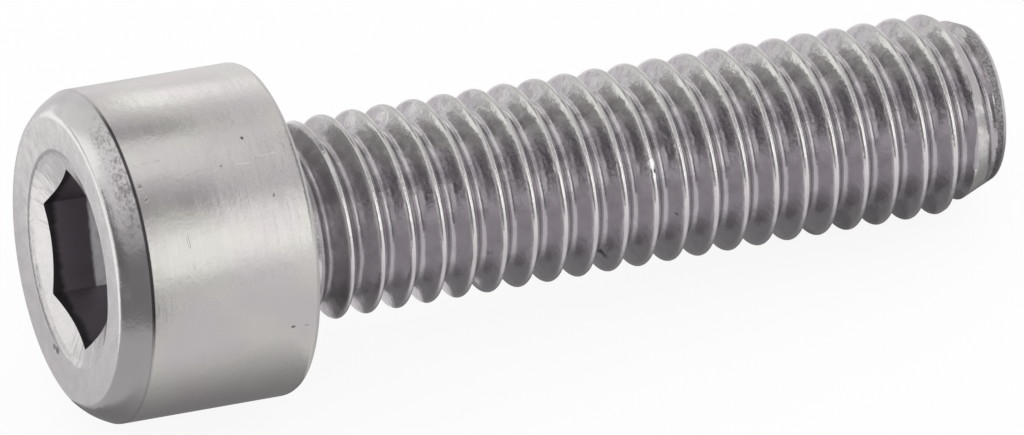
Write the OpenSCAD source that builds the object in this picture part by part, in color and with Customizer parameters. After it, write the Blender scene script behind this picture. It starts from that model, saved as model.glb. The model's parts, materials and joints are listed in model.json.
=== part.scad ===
// Hex socket head cap screw, M8 x 1.25 x 30, fully threaded, one forged and rolled piece.
// The screw lies on its side as it comes to rest: on the rim under its head and on a thread crest near its point.
// X runs along the screw with the head at -X, Z is up, and the floor is z = 0 under its middle. Millimetres.

/* [Head] */
// Diameter of the head
head_d = 12.8; // [12.73:0.01:13.27]
// Height of the head above its bearing face
head_h = 7.8; // [7.64:0.01:8]
// Diameter of the head's top face, where the bevel round it begins
face_d = 11.24; // [10:0.02:12]
// Height of the bevel round the top face
bevel_h = 1.08; // [0.4:0.01:1.6]
// How far the bevel bulges out of a straight cone
bevel_bulge = 0.06; // [0:0.01:0.15]
// How far the top face dips towards the socket
face_dip = 0.1; // [0:0.01:0.2]
// Width of the broken edge at the rim under the head
rim_w = 0.12; // [0.05:0.01:0.3]
// Height of the broken edge at the rim under the head
rim_h = 0.25; // [0.05:0.01:0.5]

/* [Socket] */
// Width of the hexagon across its flats
socket_af = 6.05; // [6.02:0.01:6.14]
// Depth of the hexagon below the top face
socket_depth = 4.4; // [4:0.1:5]
// Height of the cone at the bottom of the socket
socket_cone_h = 1; // [0.2:0.1:1.7]
// Turn of the hexagon about the screw, from a corner straight up
socket_turn = 27; // [0:1:59]
// Diameter of the round mouth of the socket
mouth_d = 8.24; // [7.2:0.02:8.6]
// Width of the steep lip round the mouth
lip_w = 0.26; // [0.1:0.01:0.4]
// Depth of the steep lip round the mouth
lip_h = 0.2; // [0.05:0.01:0.4]
// Slope of the lead-in cone inside the lip, in degrees
lead_in_slope = 18; // [10:1:30]

/* [Thread] */
// Diameter over the thread crests
thread_d = 7.76; // [7.76:0.01:7.97]
// Distance from one crest to the next
pitch = 1.25; // [1.25]
// Height of a thread from its root to its crest
thread_h = 0.76; // [0.7:0.01:0.77]
// Width of the rounded crest
crest_w = 0.2; // [0.1:0.01:0.3]
// How far the shoulders of the crest lie below its top
crest_drop = 0.05; // [0:0.01:0.1]
// Length of the screw under its head, from the bearing face to the point
screw_l = 29.8; // [29.58:0.01:30.42]
// Turn of the thread about the screw, which sets where its crests meet the floor
thread_turn = 215; // [0:1:359]
// Diameter of the flat end of the point
point_d = 6.1; // [5:0.05:6.2]
// Length of the chamfer at the point
point_h = 1.12; // [0.5:0.01:1.6]

/* [Neck] */
// Diameter of the plain neck under the head
neck_d = 6.72; // [6.6:0.02:7.2]
// Length of the plain neck under the head
neck_l = 0.7; // [0.4:0.05:1.2]
// Radius of the fillet between the neck and the bearing face
neck_fillet = 0.6; // [0.1:0.05:0.6]
// Length over which the thread rises to its full height
run_out_l = 1.5; // [0.5:0.1:2.5]

/* [Pieces] */
// Piece to build

/* [Hidden] */
STEEL = [0.66, 0.66, 0.65];
EPS = 0.01;
// The steps of the thread round one turn and of the bevel's curve
STEPS = 36;
BEVEL_STEPS = 4;
// Turn of the head's revolved outline, whose seam then lies beside the line on which the head meets the floor
SEAM_TURN = 2.25;
// How far the thread's core reaches up into the head, and how far below the head's face its helix begins
CORE_UP = 1.2;
HELIX_UP = 0.5;
// The wall between the thread's core and the face of the neck that it comes out of
NECK_STEP = 0.06;
// The helix's points closer than this to the flat end are drawn in to its rim
POINT_CLEAR = 0.1;

head_r = head_d / 2;
face_r = face_d / 2;
mouth_r = mouth_d / 2;
thread_r = thread_d / 2;
point_r = point_d / 2;
root_r = thread_r - thread_h;
neck_r = neck_d / 2;
core_r = neck_r - NECK_STEP;
flank_w = thread_h * tan(30);
turn_step = 360 / STEPS;
helix_steps = ceil((HELIX_UP + screw_l - POINT_CLEAR) / pitch * STEPS);

// One thread's outline along the screw: [distance below its start, radius]
OUTLINE = [
    [0, root_r],
    [flank_w, thread_r - crest_drop],
    [flank_w + crest_w / 2, thread_r],
    [flank_w + crest_w, thread_r - crest_drop],
    [2 * flank_w + crest_w, root_r]
];
POINTS_A_TURN = len(OUTLINE);

// The last full crest on the floor side, measured from the bearing face, and the screw's tilt when it rests on it
crest_below_start = flank_w + crest_w / 2;
floor_crest_offset = HELIX_UP - crest_below_start - pitch * (thread_turn - 180) / 360;
full_thread_l = screw_l - point_h;
floor_crest_z = floor_crest_offset - pitch * floor((floor_crest_offset + full_thread_l) / pitch);
rest_tilt = atan((head_r - thread_r) / (rim_h - floor_crest_z));
axis_h = head_r * cos(rest_tilt) - rim_h * sin(rest_tilt);
// The middle of the lying screw, measured along the floor from its bearing face
head_end_x = -head_h * cos(rest_tilt) - face_r * sin(rest_tilt);
point_end_x = screw_l * cos(rest_tilt) + point_r * sin(rest_tilt);
middle_x = (head_end_x + point_end_x) / 2;

// The largest radius that the run-out, the neck and the point leave at height z
function run_out_r(z) = core_r + max(0, -z - neck_l) / run_out_l * (thread_r - core_r);
function point_limit_r(z) = point_r + (z + screw_l) / point_h * (thread_r - point_r);
function limit_r(z) = min(run_out_r(z), point_limit_r(z));
// The smallest radius at height z: the core fills the neck's bore and then falls to the thread's root
function floor_r(z) = z > -neck_l ? core_r : root_r;
function thread_radius(z, r) = min(max(r, floor_r(z)), limit_r(z));

function bevel_point(t) = [
    head_r + (face_r - head_r) * t + bevel_bulge * sin(180 * t),
    head_h - bevel_h + bevel_h * t + bevel_bulge * sin(180 * t)
];

module head_blank() {
    rotate([0, 0, SEAM_TURN])
        rotate_extrude()
            polygon(concat(
                [[0, 0], [head_r - rim_w, 0], [head_r, rim_h]],
                [for (i = [0:BEVEL_STEPS]) bevel_point(i / BEVEL_STEPS)],
                [[mouth_r, head_h - face_dip], [0, head_h - face_dip]]
            ));
}

module neck() {
    rotate_extrude()
        difference() {
            translate([0, -neck_l])
                square([neck_r + neck_fillet, neck_l + EPS]);
            translate([neck_r + neck_fillet, -neck_fillet])
                circle(r = neck_fillet, $fn = 48);
            translate([neck_r, -neck_l - EPS])
                square([neck_fillet + EPS, neck_l - neck_fillet + EPS]);
        }
}

module socket_cut() {
    mouth_z = head_h - face_dip;
    lead_in_r = mouth_r - lip_w;
    lead_in_h = lead_in_r * tan(lead_in_slope);
    floor_z = head_h - socket_depth;
    rotate([0, 0, socket_turn])
        translate([0, 0, floor_z])
            cylinder(d = socket_af / cos(30), h = socket_depth, $fn = 6);
    translate([0, 0, floor_z - socket_cone_h])
        cylinder(r1 = 0, r2 = socket_af / 2, h = socket_cone_h + EPS, $fn = 96);
    rotate_extrude()
        polygon([
            [0, mouth_z - lip_h - lead_in_h],
            [lead_in_r, mouth_z - lip_h],
            [mouth_r, mouth_z],
            [mouth_r, head_h],
            [0, head_h]
        ]);
}

// The threaded rod as one closed solid: a helical strip of outlines with a ring of points at each end.
// Row i holds one outline, and its last point is the first point of the row one turn on.
module threaded_rod() {
    m = POINTS_A_TURN;
    rows = helix_steps + STEPS;
    first_ring = rows * m;
    last_ring = first_ring + STEPS;
    function around(i) = thread_turn - turn_step * i;
    function height(i, j) = HELIX_UP - pitch * i / STEPS - OUTLINE[j][0];
    function helix_point(i, j) =
        let (z = height(i, j), r = thread_radius(z, OUTLINE[j][1]))
        [r * cos(around(i)), r * sin(around(i)), z];
    points = concat(
        [for (i = [0:rows - 1]) for (j = [0:m - 1]) helix_point(i, j)],
        [for (k = [0:STEPS - 1]) [core_r * cos(around(k)), core_r * sin(around(k)), CORE_UP]],
        [for (k = [0:STEPS - 1]) [point_r * cos(around(k)), point_r * sin(around(k)), -screw_l]]
    );
    function up(k) = first_ring + k % STEPS;
    function down(k) = last_ring + k % STEPS;
    // The number of point j of row i, or of the flat end's rim where the row has passed it
    function at(i, j) =
        j == m ? at(i + STEPS, 0) : height(i, j) < POINT_CLEAR - screw_l ? down(i) : i * m + j;
    // Two triangles, clockwise from outside, given the right top, left top, left bottom and right bottom corners
    function quad(a, b, c, d) = [[a, c, b], [a, d, c]];
    function is_face(f) = f[0] != f[1] && f[1] != f[2] && f[2] != f[0];
    strip = [for (i = [0:helix_steps]) for (j = [0:m - 1])
        for (f = quad(at(i, j), at(i + 1, j), at(i + 1, j + 1), at(i, j + 1))) if (is_face(f)) f];
    upper = [for (k = [0:STEPS - 2]) each quad(up(k), up(k + 1), at(k + 1, 0), at(k, 0))];
    upper_step = concat(
        quad(up(STEPS - 1), up(0), at(0, 0), at(STEPS - 1, 0)),
        [for (j = [0:m - 1]) [at(STEPS - 1, 0), at(0, j + 1), at(0, j)]]
    );
    caps = [[for (k = [0:STEPS - 1]) up(k)], [for (k = [STEPS - 1:-1:0]) down(k)]];
    polyhedron(points, concat(strip, upper, upper_step, caps), convexity = 30);
}

module screw() {
    difference() {
        union() {
            head_blank();
            neck();
            threaded_rod();
        }
        socket_cut();
    }
}

module cap_screw() {
    color(STEEL)
        translate([-middle_x, 0, axis_h])
            rotate([0, rest_tilt - 90, 0])
                screw();
}

cap_screw();
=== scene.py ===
"""Looks of a fully threaded hex socket cap screw, lying on its head's rim and on a thread crest.

The screw is one closed mesh, made in its own frame and in millimetres: Z runs along the screw
towards the head, zero is the bearing face under the head, and X points up when it lies.
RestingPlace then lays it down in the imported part's frame.
"""

import json
import logging
import math
from dataclasses import dataclass, field
from enum import Enum, IntEnum
from typing import Union

import bmesh
import bpy
from mathutils import Matrix, Vector


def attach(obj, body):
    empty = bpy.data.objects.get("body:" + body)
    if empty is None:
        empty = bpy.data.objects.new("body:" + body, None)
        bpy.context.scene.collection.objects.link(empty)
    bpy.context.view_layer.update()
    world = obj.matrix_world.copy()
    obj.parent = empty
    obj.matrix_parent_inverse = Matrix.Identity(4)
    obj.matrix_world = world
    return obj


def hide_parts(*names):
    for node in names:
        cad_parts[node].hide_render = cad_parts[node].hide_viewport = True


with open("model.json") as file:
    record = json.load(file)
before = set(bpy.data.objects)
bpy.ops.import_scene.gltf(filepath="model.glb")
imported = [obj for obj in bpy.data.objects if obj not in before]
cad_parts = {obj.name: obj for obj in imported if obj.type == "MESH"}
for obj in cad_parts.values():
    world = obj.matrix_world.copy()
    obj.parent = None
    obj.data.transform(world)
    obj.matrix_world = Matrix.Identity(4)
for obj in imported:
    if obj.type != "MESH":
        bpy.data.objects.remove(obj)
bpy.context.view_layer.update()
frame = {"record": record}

LOG = logging.getLogger("cap_screw")
MM = 0.001
#: How many steps a turn of the screw is made in
STEPS = 180
#: Vertices that are closer than this, in millimetres, are merged
MERGE = 0.002

Value = Union["Wire", float, int, tuple]
Point = tuple[float, float]
Range = tuple[float, float]
Colour = tuple[float, float, float]


class Zone(IntEnum):
    """The differently finished zones of the screw, in the order of its material slots."""

    SIDE = 0
    BEVEL = 1
    FACE = 2
    SOCKET = 3
    NECK = 4
    THREAD = 5
    POINT = 6


class Light(Enum):
    """What a studio panel is to the metal that mirrors it, and the colour that it has there."""

    LAMP = (1.0, 0.995, 0.98)
    CARD = (1.0, 0.975, 0.99)


@dataclass(frozen=True)
class Wire:
    """An output in a node tree. Python's arithmetic on it adds Math nodes."""

    tree: "ShaderTree"
    socket: bpy.types.NodeSocket

    def math(self, operation: str, *others: Value) -> "Wire":
        """The result of a Math node whose first value is this wire."""
        return self.tree.math(operation, self, *others)

    def __add__(self, other: Value) -> "Wire":
        """self + other."""
        return self.math("ADD", other)

    __radd__ = __add__

    def __sub__(self, other: Value) -> "Wire":
        """self - other."""
        return self.math("SUBTRACT", other)

    def __rsub__(self, other: Value) -> "Wire":
        """other - self."""
        return self.tree.math("SUBTRACT", other, self)

    def __mul__(self, other: Value) -> "Wire":
        """self * other."""
        return self.math("MULTIPLY", other)

    __rmul__ = __mul__

    def __truediv__(self, other: Value) -> "Wire":
        """self / other."""
        return self.math("DIVIDE", other)

    def __rtruediv__(self, other: Value) -> "Wire":
        """other / self."""
        return self.tree.math("DIVIDE", other, self)

    def __abs__(self) -> "Wire":
        """abs(self)."""
        return self.math("ABSOLUTE")

    def least(self, other: Value) -> "Wire":
        """The smaller of this value and the other."""
        return self.math("MINIMUM", other)

    def most(self, other: Value) -> "Wire":
        """The larger of this value and the other."""
        return self.math("MAXIMUM", other)

    def fraction(self) -> "Wire":
        """What is left of this value above the whole number below it."""
        return self.math("FRACT")

    def ramp(self, start: float, end: float) -> "Wire":
        """A smooth rise from 0 where this value is start to 1 where it is end.

        Args:
            start: The value at which the result is 0.
            end: The value at which the result is 1. It may be the smaller one.

        Returns:
            The clamped, smoothed result.
        """
        low, high = min(start, end), max(start, end)
        rise = self.tree.add(
            "ShaderNodeMapRange",
            {"interpolation_type": "SMOOTHSTEP"},
            {"Value": self, "From Min": low, "From Max": high},
        )
        return rise if end > start else 1 - rise


class ShaderTree:
    """The node tree of a material or of the world, emptied and then filled."""

    def __init__(self, owner: bpy.types.Material | bpy.types.World) -> None:
        """Empties the owner's node tree.

        Args:
            owner: The material or world.
        """
        self.owner = owner
        owner.use_nodes = True
        self.nodes = owner.node_tree.nodes
        self.links = owner.node_tree.links
        self.nodes.clear()

    def add(
        self,
        kind: str,
        settings: dict | None = None,
        inputs: dict | None = None,
        output: str | int | None = 0,
    ) -> Wire | None:
        """Adds a node.

        Args:
            kind: The node's type.
            settings: Its properties, which are set first.
            inputs: The values or wires of its input sockets, by name or number.
            output: The output to return, or None for a node that ends the tree.

        Returns:
            The wire from that output.
        """
        node = self.nodes.new(kind)
        for name, setting in (settings or {}).items():
            setattr(node, name, setting)
        for name, value in (inputs or {}).items():
            if isinstance(value, Wire):
                self.links.new(value.socket, node.inputs[name])
            else:
                node.inputs[name].default_value = value
        return None if output is None else Wire(self, node.outputs[output])

    def math(self, operation: str, *values: Value) -> Wire:
        """The result of a Math node, from its operation and its values."""
        return self.add("ShaderNodeMath", {"operation": operation}, dict(enumerate(values)))

    def axes(self, place: Wire) -> list[Wire]:
        """The X, Y and Z of a place."""
        node = self.add("ShaderNodeSeparateXYZ", inputs={0: place}).socket.node
        return [Wire(self, output) for output in node.outputs]

    def mixed(self, share: Value, first: Value, second: Value) -> Wire:
        """Mixes two colours.

        Args:
            share: The share of the second colour.
            first: The first colour.
            second: The second colour.

        Returns:
            The mixed colour.
        """
        first, second = (c if isinstance(c, Wire) else (*c, 1.0) for c in (first, second))
        return self.add(
            "ShaderNodeMix",
            {"data_type": "RGBA"},
            {"Factor": share, 6: first, 7: second},
            output=2,
        )

    def seen(self) -> Wire:
        """Tells the rays that see a thing from those that only light it.

        Returns:
            1 for a ray from the camera, a mirror or glass, and otherwise 0.
        """
        camera, glossy, through = (
            self.add("ShaderNodeLightPath", output=f"Is {kind} Ray")
            for kind in ("Camera", "Glossy", "Transmission")
        )
        return (camera + glossy + through).least(1.0)

    def end(self, shader: Wire, output: str = "ShaderNodeOutputMaterial") -> None:
        """Adds the tree's output after a shader or background."""
        self.add(output, inputs={"Surface": shader}, output=None)


@dataclass(frozen=True)
class Mark:
    """A pit, scratch, stain or painted glint, by its place on the screw and its half sizes."""

    turn: float
    height: float
    width: float
    length: float
    slant: float = 0.0
    depth: float = 1.0


@dataclass(frozen=True)
class Texture:
    """A noise on a finish, and what it does there.

    scale is its cells in a millimetre, detail its octaves and weight that of its finer octaves.
    stretch is how many times it is compressed along the axes. relief is how high it stands in
    millimetres, and rough is how far it changes the roughness.
    """

    scale: float
    detail: float = 2.0
    weight: float = 0.5
    stretch: tuple[float, float, float] | None = None
    relief: float = 0.0
    rough: float = 0.0


@dataclass(frozen=True)
class RestingPlace:
    """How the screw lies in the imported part's frame."""

    centre: Vector
    along: Vector

    @classmethod
    def from_record(cls, record: dict) -> "RestingPlace":
        """Reads the place from the mount on the bearing face.

        Args:
            record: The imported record.

        Returns:
            The screw's place: the middle of its bearing face and the direction of its point.
        """
        mounts = {mount["name"]: mount for mount in record["mounts"]}
        bearing_face = mounts["bearing_face"]
        place, along = Vector(bearing_face["pos_m"]), Vector(bearing_face["axis"])
        return cls(Vector((place.x, 0.0, place.z)), along.normalized())

    @property
    def tilt(self) -> float:
        """How far the screw's axis dips towards its point, in radians."""
        return math.asin(-self.along.z)

    def matrix(self) -> Matrix:
        """The matrix that lays the screw, made in millimetres, in its place."""
        turn = Matrix.Rotation(self.tilt - math.pi / 2, 4, "Y")
        return Matrix.Translation(self.centre) @ turn @ Matrix.Scale(MM, 4)


@dataclass(frozen=True)
class Style:
    """How marks and rays are drawn on every finish.

    ragged is the texture of a mark's edge. fade is where, in half sizes from its middle, a mark
    starts and is full. drift is how fast the rays change outwards.
    """

    ragged: Texture = Texture(9.0)
    fade: Range = (1.0, 0.35)
    drift: float = 0.05


class FinishTree(ShaderTree):
    """The node tree of one finish: a Principled shader and what feeds it."""

    style = Style()

    def __init__(self, name: str, place: RestingPlace) -> None:
        """Makes the finish's material and finds the place on the screw.

        Args:
            name: The finish's name.
            place: Where the screw lies, which turns the pattern with it.
        """
        super().__init__(bpy.data.materials.new(name))
        objects = self.add("ShaderNodeTexCoord", output="Object")
        #: The place on the screw in its own frame, in millimetres
        self.spot = self.add(
            "ShaderNodeMapping",
            {"vector_type": "TEXTURE"},
            {
                "Vector": objects,
                "Location": tuple(place.centre),
                "Rotation": (0.0, place.tilt - math.pi / 2, 0.0),
                "Scale": (MM, MM, MM),
            },
        )
        self.x, self.y, self.z = self.axes(self.spot)
        self.radius = (self.x * self.x + self.y * self.y).math("SQRT")
        self.turn = self.y.math("ARCTAN2", self.x)

    def noise(self, texture: Texture, where: Wire | None = None) -> Wire:
        """Adds a Noise texture.

        Args:
            texture: What it is like.
            where: The place that it is read at, if it isn't the place on the screw.

        Returns:
            A value from 0 to 1, mostly near 0.5.
        """
        where = where or self.spot
        if texture.stretch:
            stretched = {0: where, 1: texture.stretch}
            where = self.add("ShaderNodeVectorMath", {"operation": "MULTIPLY"}, stretched)
        inputs = {"Vector": where, "Scale": texture.scale}
        inputs |= {"Detail": texture.detail, "Roughness": texture.weight}
        return self.add("ShaderNodeTexNoise", {"noise_dimensions": "3D"}, inputs, "Fac")

    def marked(
        self,
        marks: tuple[Mark, ...],
        radius: float,
        ragged: float = 0.25,
        height: Wire | None = None,
    ) -> Wire:
        """Where the finish has marks.

        Args:
            marks: The marks.
            radius: The radius of the surface that they are in.
            ragged: How ragged their edges are.
            height: What a mark's height is measured by, if it isn't along the screw.

        Returns:
            A value that is 1 in a mark's middle and 0 outside all marks.
        """
        unevenness = (self.noise(self.style.ragged) - 0.5) * (4 * ragged)
        total = None
        for mark in marks:
            sideways = (self.turn - math.radians(mark.turn)) * radius
            lengthways = (height or self.z) - mark.height
            slant = math.radians(mark.slant)
            across = (sideways * math.cos(slant) - lengthways * math.sin(slant)) / mark.width
            along = (lengthways * math.cos(slant) + sideways * math.sin(slant)) / mark.length
            reach = (across * across + along * along).math("SQRT") + unevenness
            depth = reach.ramp(*self.style.fade) * mark.depth
            total = depth if total is None else total.most(depth)
        return total

    def rays(self, texture: Texture) -> Wire:
        """Streaks that run straight out from the screw's axis.

        Args:
            texture: What they are like. Its scale is about how many there are in a radian.

        Returns:
            A value from 0 to 1, mostly near 0.5.
        """
        outwards = self.radius * self.style.drift
        parts = {0: self.x / self.radius, 1: self.y / self.radius, 2: outwards}
        return self.noise(texture, self.add("ShaderNodeCombineXYZ", inputs=parts))

    def steel(
        self, colour: Value, roughness: Value, height: Wire, metallic: Value = 1.0
    ) -> bpy.types.Material:
        """Ends the tree with a metal shader.

        Args:
            colour: The base colour.
            roughness: The roughness.
            height: The bump's height in millimetres.
            metallic: How much of it is bare metal.

        Returns:
            The finished material.
        """
        bump = {"Strength": 1.0, "Distance": MM, "Height": height}
        inputs = {
            "Metallic": metallic,
            "Base Color": colour if isinstance(colour, Wire) else (*colour, 1.0),
            "Roughness": roughness,
            "Normal": self.add("ShaderNodeBump", inputs=bump),
        }
        self.end(self.add("ShaderNodeBsdfPrincipled", inputs=inputs, output="BSDF"))
        return self.owner


def arc(centre: Point, radius: float, start: float, end: float, pieces: int) -> list[Point]:
    """Points on an arc of an outline.

    Args:
        centre: The arc's centre, as radius from the screw's axis and height.
        radius: The arc's radius.
        start: The direction of its first point, in degrees from outwards towards the head.
        end: The direction of its last point.
        pieces: How many straight pieces it is divided into.

    Returns:
        The points, both ends among them.
    """
    turns = [math.radians(start + (end - start) * i / pieces) for i in range(pieces + 1)]
    return [(centre[0] + radius * math.cos(t), centre[1] + radius * math.sin(t)) for t in turns]


def spun(bm: bmesh.types.BMesh, points: list[Point], turn: float, rise: float = 0.0) -> None:
    """Spins an outline round the screw's axis once.

    Args:
        bm: The mesh to build in.
        points: The outline's points, as radius and height.
        turn: The turn of the outline's start about the screw from X, in radians.
        rise: How far it rises in the turn. Without a rise, the surface closes on itself.
    """
    verts = [bm.verts.new((r * math.cos(turn), r * math.sin(turn), z)) for r, z in points]
    edges = [bm.edges.new(pair) for pair in zip(verts, verts[1:])]
    bmesh.ops.spin(
        bm,
        geom=[*verts, *edges],
        cent=(0, 0, 0),
        axis=(0, 0, 1),
        dvec=(0, 0, rise / STEPS),
        angle=math.tau,
        steps=STEPS,
        use_merge=not rise,
    )


def finished(bm: bmesh.types.BMesh, name: str) -> bpy.types.Object:
    """Makes an object of a mesh and adds it to the scene.

    Args:
        bm: The mesh, which is freed.
        name: The object's name.

    Returns:
        The object.
    """
    mesh = bpy.data.meshes.new(name)
    bm.to_mesh(mesh)
    bm.free()
    made = bpy.data.objects.new(name, mesh)
    bpy.context.scene.collection.objects.link(made)
    return made


@dataclass
class Head:
    """The cylindrical head with its bevel, top face, round socket mouth, bearing face and neck."""

    radius: float = 6.4
    height: float = 7.8
    face_radius: float = 5.62
    bevel_height: float = 1.08
    bevel_bulge: float = 0.06
    bevel_steps: int = 12
    face_edge: float = 0.14
    #: How far inwards, in face_edge, and how far down the points of the face's edge lie
    face_points: tuple[Point, ...] = ((4.0, 0.03), (1.0, 0.01), (1 / 3, 0.005))
    lip_line_depth: float = 0.024
    lip_line_width: float = 0.06
    rim_width: float = 0.08
    rim_height: float = 0.224
    rim_step: float = 0.03
    #: The shares of the rim's height, from the top down, at which its points lie
    rim_shares: tuple[float, ...] = (0.0, 0.3, 0.5, 0.7, 0.85, 0.96)
    mouth_radius: float = 4.12
    mouth_depth: float = 0.1
    mouth_edge: float = 0.05
    mouth_step: float = 0.005
    neck_radius: float = 3.36
    neck_length: float = 0.7
    neck_fillet: float = 0.6
    neck_steps: int = 8
    neck_zone: float = 0.01

    @property
    def mouth_height(self) -> float:
        """The height at which the socket starts."""
        return self.height - self.mouth_depth - self.mouth_edge / 3

    def bevel(self) -> list[Point]:
        """The bevel's slightly crowned outline.

        Returns:
            Its points, from the face down to the side.
        """
        points = []
        for i in range(self.bevel_steps + 1):
            t = i / self.bevel_steps
            crown = self.bevel_bulge * math.sin(math.pi * t)
            r = self.face_radius + (self.radius - self.face_radius) * t + crown
            points.append((r, self.height - self.bevel_height * t + crown))
        return points

    def outline(self) -> list[Point]:
        """The head's outline.

        Returns:
            Its points, from the socket's mouth outwards and down to the end of the neck.
        """
        side_top = self.height - self.bevel_height
        face_z = self.height - self.mouth_depth
        fillet = (self.neck_radius + self.neck_fillet, -self.neck_fillet)
        return [
            (self.mouth_radius, self.mouth_height),
            (self.mouth_radius + self.mouth_edge / 3, face_z),
            (self.mouth_radius + self.mouth_edge, face_z + self.mouth_step),
            *[
                (self.face_radius - self.face_edge * inwards, self.height - down)
                for inwards, down in self.face_points
            ],
            *self.bevel()[1:-1],
            (self.radius - self.lip_line_depth / 2, side_top + self.lip_line_width / 2),
            (self.radius - self.lip_line_depth, side_top),
            (self.radius, side_top - self.lip_line_width),
            (self.radius, side_top / 2),
            *[
                (self.radius - self.rim_width * t * t, self.rim_height * (1 - t))
                for t in self.rim_shares
            ],
            (self.radius - self.rim_width - self.rim_step, 0.0),
            *arc(fillet, self.neck_fillet, 90, 180, self.neck_steps),
            (self.neck_radius, -self.neck_length),
        ]

    def build(self, bm: bmesh.types.BMesh, turn: float) -> None:
        """Spins the head's outline, which starts at a turn about the screw, in radians."""
        spun(bm, self.outline(), turn)

    def zone(self, radius: float, height: float) -> Zone:
        """The zone that a place on the head belongs to.

        Args:
            radius: Its distance from the screw's axis.
            height: Its height above the bearing face.

        Returns:
            The zone.
        """
        if height < self.neck_zone:
            return Zone.NECK
        if height < self.height - self.bevel_height:
            return Zone.SIDE
        return Zone.BEVEL if radius > self.face_radius - self.face_edge else Zone.FACE


@dataclass
class Socket:
    """The blind hexagon, with a cone at its bottom and a lead-in cone in its mouth."""

    across_flats: float = 6.05
    depth: float = 4.4
    cone_height: float = 1.0
    turn: float = 27.0
    corner_round: float = 0.10
    wall_offset: float = 0.01
    wall_rings: int = 6
    lip_width: float = 0.16
    lip_height: float = 0.12
    #: The shares of the lip's width and height at which it bends
    lip_bend: Point = (0.8, 0.85)
    lead_in_slope: float = 20.0
    #: The width and height of the first step of the lead-in cone
    lead_in_step: Point = (0.05, 0.02)
    #: The radius within which a face that looks along the screw no more than this is a wall
    wall_zone: Point = (3.6, 0.3)
    floor_zone: float = 4.0

    def hexagon_radius(self, angle: float) -> float:
        """How far the hexagon's wall is from the axis, with its corners cut off a little.

        Args:
            angle: The direction about the axis from X, in radians.

        Returns:
            The distance.
        """
        from_flat = (math.degrees(angle) - self.turn) % 60 - 30
        sharp = self.across_flats / 2 / math.cos(math.radians(from_flat))
        # A corner goes no further out than a round that touches both of its flats
        reach = (self.across_flats / 2 - self.corner_round) / math.cos(math.radians(30))
        return min(sharp, reach + self.corner_round)

    def outline(self, head: Head) -> list[Point]:
        """The socket's outline as if it were round.

        Args:
            head: The head that it is in.

        Returns:
            Its points, from its floor's middle up to the mouth.
        """
        mouth = head.mouth_height
        floor = head.height - self.depth
        flat = self.across_flats / 2
        rise = (mouth - floor) / self.wall_rings
        lip_radius = head.mouth_radius - self.lip_width
        lip_z = mouth - self.lip_height
        (step_width, step_height), (bend_width, bend_height) = self.lead_in_step, self.lip_bend
        return [
            (0.0, floor - self.cone_height),
            (flat, floor),
            *[(flat + self.wall_offset, floor + rise * i) for i in range(self.wall_rings)],
            (lip_radius - step_width, lip_z - step_height),
            (lip_radius, lip_z),
            (lip_radius + self.lip_width * bend_width, lip_z + self.lip_height * bend_height),
            (head.mouth_radius, mouth),
        ]

    def build(self, bm: bmesh.types.BMesh, head: Head, turn: float) -> None:
        """Spins the socket round and then draws its wall out to the hexagon.

        Args:
            bm: The mesh to build in.
            head: The head that it is in.
            turn: The turn of the outline's start about the screw, in radians.
        """
        before = set(bm.verts)
        spun(bm, self.outline(head), turn)
        mouth = head.mouth_height
        floor = head.height - self.depth
        slope = math.tan(math.radians(self.lead_in_slope))
        for vert in set(bm.verts) - before:
            radius = vert.co.xy.length
            if abs(radius - self.across_flats / 2 - self.wall_offset) > self.wall_offset / 2:
                continue
            hexagon = self.hexagon_radius(math.atan2(vert.co.y, vert.co.x))
            rise = (vert.co.z - floor) / (mouth - floor) * self.wall_rings / (self.wall_rings - 1)
            top = mouth - self.lip_height - (head.mouth_radius - self.lip_width - hexagon) * slope
            vert.co.z = floor + rise * (top - floor)
            vert.co.xy *= hexagon / radius

    def zone(self, radius: float, height: float, normal_z: float) -> Zone:
        """The zone that a place in the socket belongs to.

        Args:
            radius: Its distance from the screw's axis.
            height: Its height above the bearing face.
            normal_z: How far its face looks along the screw.

        Returns:
            The zone.
        """
        reach, slope = self.wall_zone
        wall = radius < reach and abs(normal_z) < slope
        return Zone.SOCKET if wall or height < self.floor_zone else Zone.FACE


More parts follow.
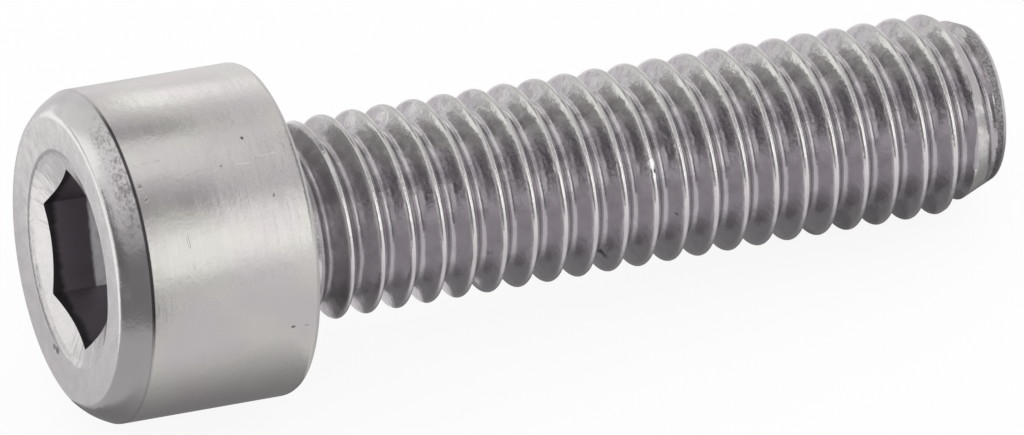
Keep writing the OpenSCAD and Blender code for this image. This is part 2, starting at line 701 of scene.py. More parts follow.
@dataclass
class Thread:
    """The rolled thread from the neck to the chamfered point."""

    pitch: float = 1.25
    crest_radius: float = 3.88
    root_radius: float = 3.12
    crest_round: float = 0.123
    crest_steps: int = 6
    root_steps: int = 2
    #: The shares of the flank at which it is divided
    flank_shares: tuple[float, ...] = (0.25, 0.5, 0.75)
    length: float = 29.8
    crest_height: float = 0.4647
    run_out: float = 1.5
    point_radius: float = 3.05
    point_height: float = 2.05
    point_offset: float = 0.12
    point_side: float = 39.0
    point_zone: float = 0.02
    end_ring: float = 0.12
    end_zone: float = 0.001
    neck_radius: float = Head.neck_radius
    neck_end: float = Head.neck_length
    neck_blend: float = 0.6

    def at_end(self, height: float) -> bool:
        """Whether a height is that of the screw's flat end."""
        return height < self.end_zone - self.length

    def outline(self) -> list[Point]:
        """One thread's outline from root to root, as radius and height from its crest.

        Returns:
            The outline's points. The last one lies a pitch above the first.
        """
        apex = self.crest_radius + self.crest_round
        valley = apex - self.pitch / 2 * math.sqrt(3)
        root_round = self.root_radius - valley
        root_middle = (self.root_radius + root_round, -self.pitch / 2)
        root = arc(root_middle, root_round, 180, 120, self.root_steps)
        crest_middle = (self.crest_radius - self.crest_round, 0)
        crest = arc(crest_middle, self.crest_round, -60, 60, self.crest_steps)
        start, end = Vector(root[-1]), Vector(crest[0])
        rising = root + [tuple(start.lerp(end, share)) for share in self.flank_shares]
        falling = [(r, -z) for r, z in reversed(rising)]
        return rising + crest + falling

    def largest_radius(self, height: float, turn: float) -> float:
        """The radius that the run-out and the point's chamfer, cut a little off centre, leave.

        Args:
            height: The height above the bearing face.
            turn: The turn about the screw, in radians.

        Returns:
            The radius.
        """
        rise = max(0.0, -height - self.neck_end) / self.run_out
        below_neck = self.neck_radius + rise * (self.crest_radius - self.neck_radius)
        above_point = (height + self.length) / self.point_height
        off_centre = self.point_offset * math.cos(turn - math.radians(self.point_side))
        at_point = self.point_radius + above_point * (self.crest_radius - self.point_radius)
        return min(below_neck, at_point + off_centre, self.crest_radius)

    def smallest_radius(self, height: float) -> float:
        """The radius that the neck fills.

        Args:
            height: The height above the bearing face.

        Returns:
            The radius, or 0 beyond the neck.
        """
        share = min(1.0, max(0.0, 1 - (-height - self.neck_end) / self.neck_blend))
        smooth = share * share * (3 - 2 * share)
        return self.root_radius + smooth * (self.neck_radius - self.root_radius) if smooth else 0.0

    def build(self, bm: bmesh.types.BMesh, turn: float) -> None:
        """Builds the thread from the neck down to its closed end.

        Args:
            bm: The mesh to build in.
            turn: The turn of the outline's start about the screw, in radians.
        """
        before = set(bm.verts)
        self.wind(bm, turn)
        new = [vert for vert in bm.verts if vert not in before]
        self.trim(new)
        bmesh.ops.remove_doubles(bm, verts=new, dist=MERGE)
        self.close(bm)

    def wind(self, bm: bmesh.types.BMesh, turn: float) -> None:
        """Winds the thread from beyond its point up into the neck.

        Args:
            bm: The mesh to build in.
            turn: The turn of the outline's start about the screw, in radians.
        """
        start_crest = self.crest_height + self.pitch * turn / math.tau
        below = math.ceil((start_crest + self.pitch / 2 + self.length) / self.pitch)
        start = start_crest - self.pitch * below
        wound = math.ceil((-self.neck_end - start + self.pitch / 2) / self.pitch)
        before = {*bm.verts, *bm.edges, *bm.faces}
        spun(bm, [(r, start + z) for r, z in self.outline()], turn, self.pitch)
        one_turn = [part for part in (*bm.verts, *bm.edges, *bm.faces) if part not in before]
        for i in range(1, wound):
            copy = bmesh.ops.duplicate(bm, geom=one_turn)["geom"]
            verts = [part for part in copy if isinstance(part, bmesh.types.BMVert)]
            bmesh.ops.translate(bm, vec=(0, 0, self.pitch * i), verts=verts)

    def trim(self, verts: list[bmesh.types.BMVert]) -> None:
        """Trims the thread to its length, its run-out and its point.

        Args:
            verts: The thread's vertices.
        """
        for vert in verts:
            height = min(-self.neck_end, max(-self.length, vert.co.z))
            radius = vert.co.xy.length
            largest = self.largest_radius(height, math.atan2(vert.co.y, vert.co.x))
            wanted = max(self.smallest_radius(height), min(largest, radius))
            if vert.co.z < height:
                # Beyond the point, all of a turn's vertices fall on one rim
                wanted = min(wanted, self.root_radius)
            vert.co.xy *= wanted / radius
            vert.co.z = height

    def close(self, bm: bmesh.types.BMesh) -> None:
        """Closes the thread's end with a flat face and a narrow ring round it.

        Args:
            bm: The mesh to build in.
        """
        open_edges = (edge for edge in bm.edges if edge.is_boundary)
        rim = [edge for edge in open_edges if all(self.at_end(v.co.z) for v in edge.verts)]
        end = bmesh.ops.contextual_create(bm, geom=rim)["faces"]
        bmesh.ops.inset_region(bm, faces=end, thickness=self.end_ring, depth=0.0)

    def zone(self, place: Vector) -> Zone:
        """The zone that a place on the thread belongs to.

        Args:
            place: The place in the screw's own frame.

        Returns:
            The zone.
        """
        radius, height = place.xy.length, place.z
        if height > -self.neck_end:
            return Zone.NECK
        if self.at_end(height):
            return Zone.POINT
        cut = self.largest_radius(height, math.atan2(place.y, place.x)) - self.point_zone
        pointed = height < self.point_height - self.length and radius > cut
        return Zone.POINT if pointed else Zone.THREAD


@dataclass(frozen=True)
class GrooveShadeLine:
    """Painted shade in the groove along the head's upper edge: a dark line, faint except at the front."""

    # The colour of the painted shade in the groove
    colour: Colour = (0.05, 0.045, 0.05)
    height: float = Head.height - Head.bevel_height
    width: Range = (0.085, 0.035)
    facing: float = -40.0
    front: Range = (0.95, 0.6)
    faint: float = 0.15
    strong: float = 0.95

    def over(self, tree: FinishTree, colour: Wire) -> Wire:
        """Draws the line of painted shade.

        Args:
            tree: The finish's node tree.
            colour: The colour beside the line.

        Returns:
            The colour with the line over it.
        """
        # The painted shade is strong where the groove faces the front and faint elsewhere
        front = abs(tree.turn - math.radians(self.facing)).ramp(*self.front)
        strength = front * (self.strong - self.faint) + self.faint
        line = abs(tree.z - self.height).ramp(*self.width) * strength
        return tree.mixed(line, colour, self.colour)


@dataclass(frozen=True)
class SatinSide:
    """The head's side: bare steel with fine rings round it, faint patches, pits and scratches."""

    warm: Colour = (0.64, 0.635, 0.605)
    rosy: Colour = (0.62, 0.595, 0.595)
    dark: Colour = (0.16, 0.15, 0.15)
    bright: Colour = (0.85, 0.85, 0.83)
    dull: Colour = (0.40, 0.39, 0.39)
    edge: GrooveShadeLine = GrooveShadeLine()
    roughness: float = 0.26
    rings: Texture = Texture(1.0, 2.0, 0.6, (0.5, 0.5, 7.0), relief=0.004, rough=0.12)
    clouds: Texture = Texture(1.1, 4.0, 0.6, relief=0.018, rough=0.16)
    grain: Texture = Texture(7.0, relief=0.003)
    stains: Texture = Texture(0.32)
    stain_range: Range = (0.42, 0.6)
    dull_range: Range = (0.2, 0.1)
    dull_share: float = 0.5
    scratch_share: float = 0.6
    scratch_ragged: float = 0.1
    scratch_depth: float = 0.008
    pit_depth: float = 0.03
    pit_rough: float = 0.2
    radius: float = Head.radius
    pits: tuple = (
        Mark(-19.3, 1.94, 0.10, 0.09),
        Mark(-28.5, 3.12, 0.05, 0.07, depth=0.6),
        Mark(-41.6, 1.39, 0.09, 0.04, slant=20, depth=0.8),
        Mark(-88.9, 1.10, 0.07, 0.10),
        Mark(-89.2, 0.55, 0.04, 0.13, depth=0.4),
        Mark(-31.0, 6.45, 0.13, 0.12, slant=30, depth=0.55),
        Mark(-36.0, 6.35, 0.15, 0.08, slant=30, depth=0.6),
    )
    scratches: tuple = (
        Mark(-29.0, 2.25, 0.03, 0.60, slant=4, depth=0.7),
        Mark(-27.0, 1.20, 0.03, 0.62, slant=-4, depth=0.8),
        Mark(-25.5, 1.35, 0.02, 0.40, slant=-4, depth=0.5),
        Mark(-22.8, 5.75, 0.03, 0.55, slant=-3, depth=0.7),
        Mark(-24.0, 6.35, 0.03, 0.22, slant=40, depth=0.9),
        Mark(-52.5, 5.08, 0.42, 0.05, slant=-6),
        Mark(-61.0, 5.00, 0.20, 0.03, slant=-6, depth=0.6),
    )

    def material(self, place: RestingPlace) -> bpy.types.Material:
        """Builds the finish.

        Args:
            place: Where the screw lies.

        Returns:
            The material.
        """
        tree = FinishTree("satin_side", place)
        rings, clouds, grain = (tree.noise(t) for t in (self.rings, self.clouds, self.grain))
        stain = tree.noise(self.stains).ramp(*self.stain_range)
        pits = tree.marked(self.pits, self.radius)
        scratches = tree.marked(self.scratches, self.radius, self.scratch_ragged)
        colour = tree.mixed(stain, self.warm, self.rosy)
        colour = tree.mixed(scratches * self.scratch_share, colour, self.bright)
        dull = tree.z.ramp(*self.dull_range) * self.dull_share
        colour = tree.mixed(dull, colour, self.dull)
        colour = self.edge.over(tree, tree.mixed(pits, colour, self.dark))
        roughness = self.roughness + (clouds - 0.5) * self.clouds.rough
        roughness = roughness + (rings - 0.5) * self.rings.rough + pits * self.pit_rough
        height = rings * self.rings.relief + clouds * self.clouds.relief
        height = height + grain * self.grain.relief
        height = height - pits * self.pit_depth - scratches * self.scratch_depth
        return tree.steel(colour, roughness, height)


@dataclass(frozen=True)
class ForgedBevel:
    """The bevel: forged steel, mottled and speckled towards its outer edge."""

    colour: Colour = (0.60, 0.59, 0.59)
    speck: Colour = (0.16, 0.15, 0.155)
    edge: GrooveShadeLine = GrooveShadeLine()
    roughness: float = 0.24
    clouds: Texture = Texture(1.6, 4.0, 0.6, relief=0.02, rough=0.2)
    grain: Texture = Texture(5.0, 4.0, 0.7, (1.0, 1.0, 2.0), relief=0.002)
    grain_share: float = 0.6
    speck_range: Range = (0.44, 0.62)
    speck_share: float = 0.7
    speck_depth: float = 0.004
    speck_radii: Range = (5.85, 6.2)
    speck_facing: float = -24.0
    speck_reach: Range = (0.6, 0.2)

    def material(self, place: RestingPlace) -> bpy.types.Material:
        """Builds the finish.

        Args:
            place: Where the screw lies.

        Returns:
            The material.
        """
        tree = FinishTree("forged_bevel", place)
        clouds, grain = tree.noise(self.clouds), tree.noise(self.grain)
        beside = abs(tree.turn - math.radians(self.speck_facing))
        outer = tree.radius.ramp(*self.speck_radii) * beside.ramp(*self.speck_reach)
        specks = grain * self.grain_share + clouds * (1 - self.grain_share)
        specks = specks.ramp(*self.speck_range) * outer
        colour = tree.mixed(specks * self.speck_share, self.colour, self.speck)
        height = clouds * self.clouds.relief + grain * self.grain.relief
        height = height - specks * self.speck_depth
        roughness = self.roughness + (clouds - 0.5) * self.clouds.rough
        return tree.steel(self.edge.over(tree, colour), roughness, height)


@dataclass(frozen=True)
class ForgedFace:
    """The top face and socket mouth: forged steel, fine grain, a shallow groove with painted shadow."""

    colour: Colour = (0.60, 0.585, 0.59)
    dull: Colour = (0.54, 0.53, 0.53)
    dark: Colour = (0.12, 0.11, 0.12)
    roughness: float = 0.26
    clouds: Texture = Texture(1.4, 4.0, 0.6, relief=0.03, rough=0.16)
    grain: Texture = Texture(8.0, relief=0.004)
    streaks: Texture = Texture(9.0, relief=0.05)
    dull_range: Range = (0.35, 0.65)
    mouth_fade: float = 0.1
    ring_radius: float = 4.18
    ring_width: Range = (0.13, 0.03)
    ring_ragged: float = 0.1
    # Where along Y the painted shadow in the groove fades in, and how dark it gets
    shadow_side: Range = (-0.5, 1.5)
    shadow_share: float = 0.6
    ring_depth: float = 0.01
    pit_ragged: float = 0.12
    pit_depth: float = 0.04
    pits: tuple = (
        Mark(176.5, 4.38, 0.21, 0.21),
        Mark(172.5, 4.46, 0.17, 0.16, depth=0.9),
    )

    def material(self, place: RestingPlace) -> bpy.types.Material:
        """Builds the finish.

        Args:
            place: Where the screw lies.

        Returns:
            The material.
        """
        tree = FinishTree("forged_face", place)
        clouds, grain = tree.noise(self.clouds), tree.noise(self.grain)
        mouth = tree.radius.ramp(self.ring_radius, self.ring_radius - self.mouth_fade)
        streaks = tree.rays(self.streaks) * mouth
        # A shallow ring groove round the mouth, bumped in, with painted shadow on its side towards +Y
        ring = abs(tree.radius - self.ring_radius + (grain - 0.5) * self.ring_ragged)
        ring = ring.ramp(*self.ring_width) * tree.y.ramp(*self.shadow_side)
        pits = tree.marked(self.pits, self.ring_radius, self.pit_ragged, tree.radius)
        colour = tree.mixed(clouds.ramp(*self.dull_range), self.dull, self.colour)
        colour = tree.mixed((ring * self.shadow_share).most(pits), colour, self.dark)
        height = clouds * self.clouds.relief + grain * self.grain.relief
        height = height + streaks * self.streaks.relief
        height = height - ring * self.ring_depth - pits * self.pit_depth
        roughness = self.roughness + (clouds - 0.5) * self.clouds.rough
        return tree.steel(colour, roughness, height)


@dataclass(frozen=True)
class SocketWall:
    """The hexagon's walls: dull steel, black by the mouth, painted shade on five facets, painted light
    deeper in on the sixth.
    """

    colour: Colour = (0.475, 0.44, 0.475)
    dark: Colour = (0.12, 0.11, 0.12)
    # Painted shade on the facets turned from the light, and painted light low on the one facing it
    shaded: Colour = (0.365, 0.335, 0.365)
    painted_light: Colour = (0.90, 0.89, 0.91)
    roughness: float = 0.45
    streaks: Texture = Texture(0.6, stretch=(4.0, 4.0, 0.3), relief=0.004, rough=0.2)
    grain: Texture = Texture(3.0)
    dark_height: float = 6.95
    dark_fade: float = 0.15
    dark_ragged: float = 0.4
    facing: float = 117.0
    facet: Range = (29.5, 30.5)
    painted_light_height: float = 5.64
    painted_light_fade: float = 0.08
    painted_light_ragged: float = 0.2
    painted_light_floor: float = 0.4
    painted_light_metallic: float = 0.15

    def material(self, place: RestingPlace) -> bpy.types.Material:
        """Builds the finish.

        Args:
            place: Where the screw lies.

        Returns:
            The material.
        """
        tree = FinishTree("socket_wall", place)
        streaks, grain = tree.noise(self.streaks), tree.noise(self.grain)
        mouth = tree.z - self.dark_height + (streaks - 0.5) * self.dark_ragged
        mouth = mouth.ramp(-self.dark_fade, self.dark_fade)
        facet = (math.radians(edge) for edge in self.facet)
        beside = abs(tree.turn - math.radians(self.facing)).ramp(*facet)
        # Painted light: a lighter, less metallic patch low on the facet facing the light, where light falls
        # in through the mouth
        painted_light = tree.z - self.painted_light_height + (grain - 0.5) * self.painted_light_ragged
        painted_light = painted_light.ramp(self.painted_light_fade, -self.painted_light_fade) * (1 - beside)
        painted_light = painted_light * (grain + self.painted_light_floor).least(1.0)
        # Painted shade on every facet but that one
        colour = tree.mixed(beside, self.colour, self.shaded)
        colour = tree.mixed(mouth, colour, self.dark)
        colour = tree.mixed(painted_light, colour, self.painted_light)
        roughness = self.roughness + (streaks - 0.5) * self.streaks.rough
        metallic = 1 - painted_light * (1 - self.painted_light_metallic)
        return tree.steel(colour, roughness, streaks * self.streaks.relief, metallic)


@dataclass(frozen=True)
class TurnedNeck:
    """The bearing face and the neck under the head: turned, dull steel."""

    colour: Colour = (0.42, 0.41, 0.415)
    roughness: float = 0.32
    clouds: Texture = Texture(1.4, 3.0, rough=0.2)
    rings: Texture = Texture(6.0, relief=0.006)

    def material(self, place: RestingPlace) -> bpy.types.Material:
        """Builds the finish.

        Args:
            place: Where the screw lies.

        Returns:
            The material.
        """
        tree = FinishTree("turned_neck", place)
        across = tree.add("ShaderNodeCombineXYZ", inputs={0: tree.radius, 1: tree.z})
        rings = tree.noise(self.rings, across)
        roughness = self.roughness + (tree.noise(self.clouds) - 0.5) * self.clouds.rough
        return tree.steel(self.colour, roughness, rings * self.rings.relief)


@dataclass(frozen=True)
class RolledThread:
    """The thread: rolled steel, crests polished with painted highlight, flanks mottled with painted shade.

    up is the direction in X and Y that looks up to the back. crest_width is in shares of a pitch.
    """

    bright: Colour = (0.84, 0.82, 0.825)
    flank: Colour = (0.535, 0.515, 0.537)
    olive: Colour = (0.54, 0.538, 0.525)
    # The colour of the dark mottling and painted shade on the flanks
    dark_mottle_and_shade: Colour = (0.34, 0.32, 0.335)
    dark: Colour = (0.08, 0.075, 0.08)
    # The white of the painted glints
    bare: Colour = (0.98, 0.98, 0.98)
    crest_roughness: float = 0.13
    flank_roughness: float = 0.17
    pitch: float = Thread.pitch
    crest_height: float = Thread.crest_height
    crest_width: Range = (0.13, 0.06)
    radius: float = 3.6
    clouds: Texture = Texture(1.7, 4.0, 0.6, relief=0.035, rough=0.14)
    grain: Texture = Texture(5.0, 1.5, relief=0.004)
    up: Point = (0.78, 0.63)
    upper_range: Range = (-1.2, 0.6)
    # Where the painted crest highlight dims on the underside, and by how much
    under_range: Range = (-1.5, -2.7)
    under_share: float = 0.6
    # Where the painted olive reflection on the top of the thread starts and is full
    olive_range: Range = (2.8, 3.7)
    # Dark mottling on the flanks, with painted shade on the upper side and beside the neck
    mottle_clouds: float = 0.8
    mottle_range: Range = (0.47, 0.60)
    mottle_shade_under: float = 0.2
    mottle_shade_upper: float = 0.54
    mottle_shade_rough: float = 0.18
    neck_range: Range = (-5.0, -1.5)
    neck_start: float = -0.25
    neck_gain: float = 1.6
    neck_most: float = 0.9
    neck_rough_range: Range = (-4.0, -2.5)
    neck_rough: float = 0.05
    pit_depth: float = 0.05
    pits: tuple = (
        Mark(-126.5, -13.20, 0.30, 0.28, slant=20),
        Mark(-89.9, -15.80, 0.07, 0.07, depth=0.5),
        Mark(-107.0, -7.80, 0.25, 0.03, slant=-25, depth=0.7),
        Mark(-86.0, -1.60, 0.06, 0.05, depth=0.7),
        Mark(-57.4, -14.82, 0.09, 0.07, depth=0.8),
    )
    # Painted glints: white, non-metallic spots on the crests
    painted_glints: tuple = (
        Mark(-53.0, -14.76, 0.26, 0.19),
        Mark(-60.5, -14.78, 0.14, 0.09, depth=0.7),
    )

    def material(self, place: RestingPlace) -> bpy.types.Material:
        """Builds the finish.

        Args:
            place: Where the screw lies.

        Returns:
            The material.
        """
        tree = FinishTree("rolled_thread", place)
        wound = ((tree.z - self.crest_height) / self.pitch - tree.turn / math.tau).fraction()
        crest = wound.least(1 - wound).ramp(*self.crest_width)
        clouds, grain = tree.noise(self.clouds), tree.noise(self.grain)
        pits = tree.marked(self.pits, self.radius)
        painted_glints = tree.marked(self.painted_glints, self.radius)
        level = tree.x * self.up[0] + tree.y * self.up[1]
        dark_mottle_and_shade = self.mottled_and_shaded(tree, clouds, grain, level) * (1 - crest)
        # Partly real polish and partly painted highlight on the crests; on the underside it is dimmed as
        # painted shade
        polish_and_highlight = crest * (1 - level.ramp(*self.under_range) * self.under_share)
        colour = tree.mixed(polish_and_highlight, self.flank, self.bright)
        # Painted reflection: an olive tint on the top of the thread
        colour = tree.mixed(tree.x.ramp(*self.olive_range), colour, self.olive)
        colour = tree.mixed(dark_mottle_and_shade, colour, self.dark_mottle_and_shade)
        colour = tree.mixed(pits, colour, self.dark)
        # Painted glints in white, which also take the metal away there
        colour = tree.mixed(painted_glints, colour, self.bare)
        roughness = self.flank_roughness + crest * (self.crest_roughness - self.flank_roughness)
        roughness = roughness + (clouds - 0.5) * self.clouds.rough + dark_mottle_and_shade * self.mottle_shade_rough
        roughness = roughness + tree.z.ramp(*self.neck_rough_range) * self.neck_rough
        height = clouds * self.clouds.relief + grain * self.grain.relief - pits * self.pit_depth
        return tree.steel(colour, roughness, height, 1 - painted_glints)

    def mottled_and_shaded(self, tree: FinishTree, clouds: Wire, grain: Wire, level: Wire) -> Wire:
        """Where the flanks are darker: mottled spots, with painted shade above and beside the neck.

        Args:
            tree: The finish's node tree.
            clouds: The coarse noise.
            grain: The fine noise.
            level: How far a place lies up to the back.

        Returns:
            The strength of the darkening.
        """
        spots = clouds * self.mottle_clouds + grain * (1 - self.mottle_clouds)
        # Painted shade: the spots grow stronger on the upper side
        upper = level.ramp(*self.upper_range)
        strength = upper * (self.mottle_shade_upper - self.mottle_shade_under) + self.mottle_shade_under
        spots = spots.ramp(*self.mottle_range) * strength
        # Painted shade in patches beside the neck, where the head blocks the light
        patches = (clouds * self.neck_gain + self.neck_start).least(self.neck_most)
        return spots.most(patches * tree.z.ramp(*self.neck_range))


@dataclass(frozen=True)
class CutPoint:
    """The point's chamfer and end: cut smooth beside the thread and rough towards the end.

    slant is how far the rough part reaches up for each millimetre along X and Y.
    """

    smooth: Colour = (0.86, 0.86, 0.83)
    stained: Colour = (0.46, 0.44, 0.45)
    rough: Colour = (0.36, 0.35, 0.35)
    dark: Colour = (0.17, 0.16, 0.165)
    rim: Colour = (0.58, 0.57, 0.57)
    smooth_roughness: float = 0.22
    rough_roughness: float = 0.32
    clouds: Texture = Texture(1.7, 4.0, 0.6, relief=0.035, rough=0.14)
    grain: Texture = Texture(9.0, 2.0, 0.6)
    grain_range: Range = (0.35, 0.65)
    grain_relief: Range = (0.003, 0.009)
    rough_height: float = -29.1
    rough_fade: float = 0.05
    rim_range: Range = (-29.64, -29.7)
    stain_side: float = 0.2
    stain_range: Range = (0.55, 0.95)
    slant: Point = (0.073, 0.059)

    def material(self, place: RestingPlace) -> bpy.types.Material:
        """Builds the finish.

        Args:
            place: Where the screw lies.

        Returns:
            The material.
        """
        tree = FinishTree("cut_point", place)
        clouds, grain = tree.noise(self.clouds), tree.noise(self.grain)
        level = tree.z - self.rough_height - tree.x * self.slant[0] - tree.y * self.slant[1]
        roughened = level.ramp(self.rough_fade, -self.rough_fade)
        cut = tree.mixed(grain.ramp(*self.grain_range), self.dark, self.rough)
        cut = tree.mixed(tree.z.ramp(*self.rim_range), cut, self.rim)
        stain = (tree.x * self.stain_side + clouds).ramp(*self.stain_range)
        colour = tree.mixed(roughened, tree.mixed(stain, self.smooth, self.stained), cut)
        rougher = self.rough_roughness - self.smooth_roughness
        roughness = self.smooth_roughness + roughened * rougher
        roughness = roughness + (clouds - 0.5) * self.clouds.rough
        low, high = self.grain_relief
        height = grain * (roughened * (high - low) + low) + clouds * self.clouds.relief
        return tree.steel(colour, roughness, height)


@dataclass
class CapScrew:
    """The whole screw: head, socket and thread in one closed mesh."""

    place: RestingPlace
    head: Head = field(default_factory=Head)
    socket: Socket = field(default_factory=Socket)
    thread: Thread = field(default_factory=Thread)
    sharp_angle: float = 34.0

    def finishes(self) -> list[bpy.types.Material]:
        """The materials of the zones, in the order of Zone."""
        kinds = (SatinSide, ForgedBevel, ForgedFace, SocketWall, TurnedNeck, RolledThread, CutPoint)
        return [kind().material(self.place) for kind in kinds]

    def build(self) -> bpy.types.Object:
        """Builds and dresses the screw.

        Returns:
            The screw's object.
        """
        turn = math.radians(self.socket.turn)
        bm = bmesh.new()
        self.head.build(bm, turn)
        self.socket.build(bm, self.head, turn)
        self.thread.build(bm, turn)
        bmesh.ops.remove_doubles(bm, verts=bm.verts, dist=MERGE)
        bmesh.ops.recalc_face_normals(bm, faces=bm.faces)
        self.assign_zones(bm)
        self.mark_edges(bm)
        bmesh.ops.transform(bm, matrix=self.place.matrix(), verts=bm.verts)
        screw = finished(bm, "socket_cap_screw")
        for material in self.finishes():
            screw.data.materials.append(material)
        return screw

    def assign_zones(self, bm: bmesh.types.BMesh) -> None:
        """Gives each face the slot of its zone.

        Args:
            bm: The screw's mesh.
        """
        for face in bm.faces:
            middle = face.calc_center_median()
            radius = middle.xy.length
            if middle.z < 0:
                zone = self.thread.zone(middle)
            elif radius < self.head.mouth_radius:
                zone = self.socket.zone(radius, middle.z, face.normal.z)
            else:
                zone = self.head.zone(radius, middle.z)
            face.material_index = zone
            face.smooth = True

    def mark_edges(self, bm: bmesh.types.BMesh) -> None:
        """Marks the edges at which the shading breaks, none of which are in the thread itself.

        Args:
            bm: The screw's mesh.
        """
        limit = math.radians(self.sharp_angle)
        for edge in bm.edges:
            zones = {face.material_index for face in edge.link_faces}
            edge.smooth = zones == {Zone.THREAD} or edge.calc_face_angle(0.0) < limit


def staged_sheet(name: str, matrix: Matrix) -> bpy.types.Object:
    """Makes a square sheet with a material of its own, as a part of the studio.

    Args:
        name: Its name.
        matrix: What places and sizes it, from 2 m by 2 m about the origin.

    Returns:
        The sheet's object.
    """
    bm = bmesh.new()
    bmesh.ops.create_grid(bm, x_segments=1, y_segments=1, size=1.0)
    bmesh.ops.transform(bm, matrix=matrix, verts=bm.verts)
    sheet = finished(bm, name)
    sheet.data.materials.append(bpy.data.materials.new(name))
    return sheet


@dataclass
class Reflected:
    """A sheet that glows for the metal which mirrors it, and which the camera doesn't see."""

    name: str
    light: Light
    level: float

    def matrix(self) -> Matrix:
        """What places and sizes the sheet."""
        raise NotImplementedError

    def strength(self, tree: ShaderTree) -> Value:
        """How strongly it glows."""
        return self.level

    def build(self) -> bpy.types.Object:
        """Builds the sheet, which throws no shadow.

        Returns:
            The sheet's object.
        """
        sheet = staged_sheet(self.name, self.matrix())
        sheet.visible_camera = False
        sheet.visible_shadow = False
        sheet.visible_diffuse = self.light is Light.LAMP
        tree = ShaderTree(sheet.data.materials[0])
        glow = {"Color": (*self.light.value, 1.0), "Strength": self.strength(tree)}
        tree.end(tree.add("ShaderNodeEmission", inputs=glow))
        return sheet


@dataclass
class Panel(Reflected):
    """A lamp or card that stands beside the screw.

    around is where it stands about the screw, from 0 behind it over 90 above it to 180 in front.
    along is how far it reaches towards the head, below 0, and towards the point, above 0.
    """

    around: tuple[float, float]
    along: tuple[float, float]
    distance: float = 0.30
    height: float = 0.006

    def matrix(self) -> Matrix:
        """What places and sizes the panel.

        Returns:
            The matrix.
        """
        middle = math.radians(sum(self.around) / 2)
        half_height = self.distance * math.tan(math.radians(self.around[1] - self.around[0]) / 2)
        near, far = (self.distance * math.tan(math.radians(turn)) for turn in self.along)
        away = Vector((0.0, math.cos(middle), math.sin(middle))) * self.distance
        centre = Vector(((near + far) / 2, 0.0, self.height)) + away
        size = Matrix.Diagonal(((far - near) / 2, half_height, 1.0, 1.0))
        return Matrix.Translation(centre) @ Matrix.Rotation(middle - math.pi / 2, 4, "X") @ size


@dataclass
class Mat(Reflected):
    """A lamp or card that lies just over the floor, by its reach along X and Y in metres.

    beside is its level beside the screw, painted shadow of the screw on the floor for the metal to
    mirror; fade is where along Y it rises to its own level, and lean is how much further out it
    does so for each metre along X.
    """

    across: tuple[float, float]
    deep: tuple[float, float]
    beside: float | None = None
    fade: tuple[float, float] = (-0.002, -0.022)
    lean: float = 0.0
    height: float = 0.0001

    def matrix(self) -> Matrix:
        """What places and sizes the mat.

        Returns:
            The matrix.
        """
        (left, right), (front, back) = self.across, self.deep
        centre = Vector(((left + right) / 2, (front + back) / 2, self.height))
        size = Matrix.Diagonal(((right - left) / 2, (back - front) / 2, 1.0, 1.0))
        return Matrix.Translation(centre) @ size

    def strength(self, tree: ShaderTree) -> Value:
        """How strongly it glows, fading towards the screw as painted shadow if beside gives the level
        there.

        Args:
            tree: The node tree of its material.

        Returns:
            The strength.
        """
        if self.beside is None:
            return self.level
        x, y, _ = tree.axes(tree.add("ShaderNodeTexCoord", output="Object"))
        return self.beside + (y + x * self.lean).ramp(*self.fade) * (self.level - self.beside)


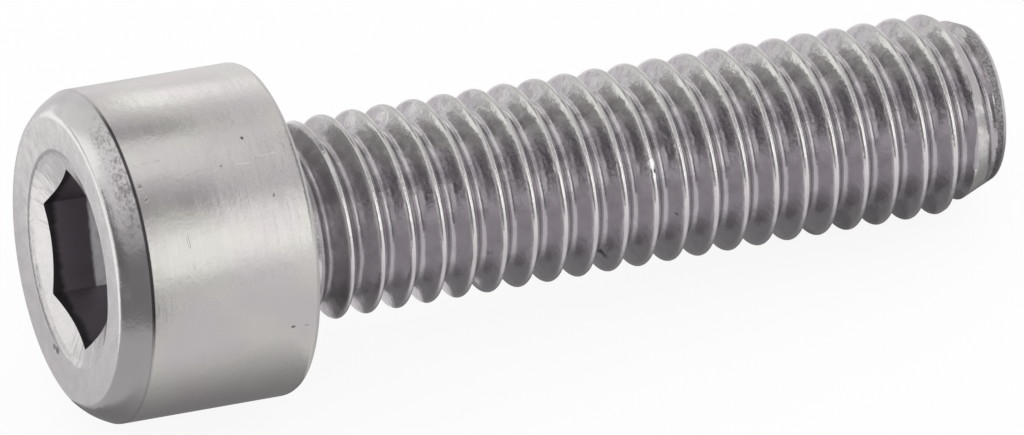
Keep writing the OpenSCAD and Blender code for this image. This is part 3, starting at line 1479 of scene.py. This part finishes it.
@dataclass
class Studio:
    """The pale floor, the white backdrop, the lamps and cards, and the camera."""

    floor_size: float = 3.0
    floor_colour: tuple = (0.95, 0.95, 0.95, 1.0)
    floor_lift: float = 0.9
    camera_turn: float = 22.25
    camera_height: float = 37.55
    camera_distance: float = 0.5188
    camera_aim: tuple = (-0.00044, 0.0, 0.00385)
    lens: float = 477.4
    sensor: float = 36.0
    clip: Range = (0.01, 20.0)

    def build(self) -> None:
        """Builds the studio."""
        self.build_floor()
        self.build_backdrop()
        self.build_camera()
        for piece in (*self.panels(), *self.mats()):
            piece.build()

    def panels(self) -> list[Panel]:
        """The lamps and cards round the screw.

        Returns:
            The panels, each with its level and its reach about and along the screw.
        """
        return [
            Panel("back_low_card", Light.CARD, 0.90, (2, 13), (-12, 22)),
            Panel("back_side_card", Light.CARD, 0.76, (13, 34), (-12, 10)),
            Panel("back_lamp", Light.LAMP, 1.40, (14, 34), (10, 22)),
            Panel("back_card", Light.CARD, 0.82, (34, 44), (-12, 22)),
            Panel("back_upper_card", Light.CARD, 0.66, (44, 52), (-12, 22)),
            Panel("top_back_card", Light.CARD, 0.38, (52, 66), (-12, 22)),
            Panel("top_card", Light.LAMP, 1.00, (66, 98), (-12, 22)),
            Panel("upper_front_card", Light.CARD, 0.60, (98, 110), (-12, 22)),
            Panel("front_dark_card", Light.CARD, 0.40, (110, 125), (-12, 22)),
            Panel("front_fill_lamp", Light.LAMP, 0.85, (125, 137), (-12, 22)),
            Panel("front_lamp", Light.LAMP, 1.22, (137, 166), (-12, 22)),
            Panel("low_front_card", Light.CARD, 0.66, (166, 181), (-12, 22)),
            Panel("crest_back_card", Light.CARD, 0.95, (2, 40), (22, 60)),
            Panel("crest_top_card", Light.CARD, 0.85, (40, 78), (22, 35)),
            Panel("crest_upper_card", Light.CARD, 0.92, (78, 122), (22, 33)),
            Panel("crest_lamp", Light.LAMP, 1.45, (122, 160), (22, 33)),
            Panel("crest_low_card", Light.CARD, 0.95, (160, 181), (22, 34)),
            Panel("thread_top_card", Light.CARD, 0.78, (40, 62), (35, 60)),
            Panel("thread_card", Light.CARD, 0.12, (62, 170), (34, 47)),
            Panel("thread_low_card", Light.CARD, 1.05, (170, 181), (34, 47)),
            Panel("thread_far_card", Light.CARD, 0.40, (62, 148), (47, 60)),
            Panel("thread_lamp", Light.LAMP, 1.08, (148, 181), (47, 60)),
            Panel("head_back_lamp", Light.LAMP, 1.35, (12, 60), (-60, -36)),
            Panel("head_fill_lamp", Light.LAMP, 0.90, (8, 60), (-36, -13)),
            Panel("head_top_card", Light.CARD, 0.95, (60, 92), (-60, -13)),
            Panel("head_front_card", Light.CARD, 0.82, (92, 112), (-60, -13)),
            Panel("bevel_upper_card", Light.CARD, 0.52, (112, 138), (-60, -13)),
            Panel("bevel_card", Light.CARD, 0.22, (138, 181), (-60, -13)),
            Panel("end_low_card", Light.CARD, 0.60, (-6, 11), (-80, -37)),
            Panel("end_lamp", Light.LAMP, 1.40, (11, 45), (-80, -61)),
            Panel("end_card", Light.CARD, 0.14, (45, 178), (-86, -61)),
        ]

    def mats(self) -> list[Mat]:
        """The sheets that lie round the screw.

        Returns:
            The mats, each with its level and its reach along X and Y.
        """
        return [
            # The mats' beside levels paint the screw's shadow on the floor for the metal to mirror
            Mat("front_mat", Light.CARD, 0.76, (-0.0095, 0.2), (-0.15, 0.0), 0.24, (-0.002, -0.0068), 0.06),
            Mat("head_low_mat", Light.CARD, 0.76, (-0.02, -0.0095), (-0.15, 0.0), 0.22, (-0.003, -0.0135)),
            Mat("back_mat", Light.CARD, 0.90, (-0.003, 0.20), (0.0, 0.15), 0.24, (0.003, 0.010)),
            # A dark strip under the tip: painted shadow of the screw on the floor, seen only in reflections
            Mat("tip_shadow_mat", Light.CARD, 0.16, (0.011, 0.024), (-0.002, 0.003), height=0.0002),
            Mat("head_mat", Light.CARD, 0.80, (-0.019, -0.003), (0.0, 0.15)),
            Mat("face_mat", Light.CARD, 0.76, (-0.0265, -0.019), (0.0, 0.15)),
            Mat("head_front_mat", Light.CARD, 0.52, (-0.04, -0.02), (-0.035, 0.0), height=0.0002),
            Mat("far_front_mat", Light.CARD, 0.20, (-0.80, -0.02), (-0.80, 0.0)),
            Mat("head_back_mat", Light.LAMP, 1.40, (-0.20, -0.0265), (0.0, 0.10)),
            Mat("far_back_mat", Light.CARD, 0.55, (-0.60, 0.0), (0.15, 0.60)),
        ]

    def build_floor(self) -> None:
        """Builds the floor, which keeps the screw's shadow."""
        floor = staged_sheet("floor", Matrix.Scale(self.floor_size, 4))
        tree = ShaderTree(floor.data.materials[0])
        lit = tree.add("ShaderNodeBsdfDiffuse", inputs={"Color": self.floor_colour})
        white = tree.add("ShaderNodeEmission")
        lift = tree.seen() * self.floor_lift
        tree.end(tree.add("ShaderNodeMixShader", inputs={0: lift, 1: lit, 2: white}))

    def build_backdrop(self) -> None:
        """Makes the world white."""
        world = bpy.data.worlds.new("studio")
        bpy.context.scene.world = world
        tree = ShaderTree(world)
        white = tree.add("ShaderNodeBackground", inputs={"Color": (1.0, 1.0, 1.0, 1.0)})
        tree.end(white, "ShaderNodeOutputWorld")

    def build_camera(self) -> None:
        """Sets up the camera."""
        data = bpy.data.cameras.new("camera")
        data.lens = self.lens
        data.sensor_width = self.sensor
        data.clip_start, data.clip_end = self.clip
        camera = bpy.data.objects.new("camera", data)
        bpy.context.scene.collection.objects.link(camera)
        turn, rise = math.radians(self.camera_turn), math.radians(self.camera_height)
        back = Vector(
            (-math.sin(turn) * math.cos(rise), -math.cos(turn) * math.cos(rise), math.sin(rise))
        )
        camera.location = Vector(self.camera_aim) + back * self.camera_distance
        camera.rotation_euler = (math.pi / 2 - rise, 0.0, -turn)
        bpy.context.scene.camera = camera
        bpy.context.scene.view_settings.view_transform = "Standard"


def main() -> None:
    """Builds the screw and the studio round it."""
    logging.basicConfig(level=logging.INFO, format="%(message)s")
    place = RestingPlace.from_record(frame["record"])
    screw = CapScrew(place).build()
    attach(screw, "root")
    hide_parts("cap_screw")
    LOG.info("%s: %d faces", screw.name, len(screw.data.polygons))
    Studio().build()
    LOG.info("studio: built")


if __name__ == "__main__":
    main()
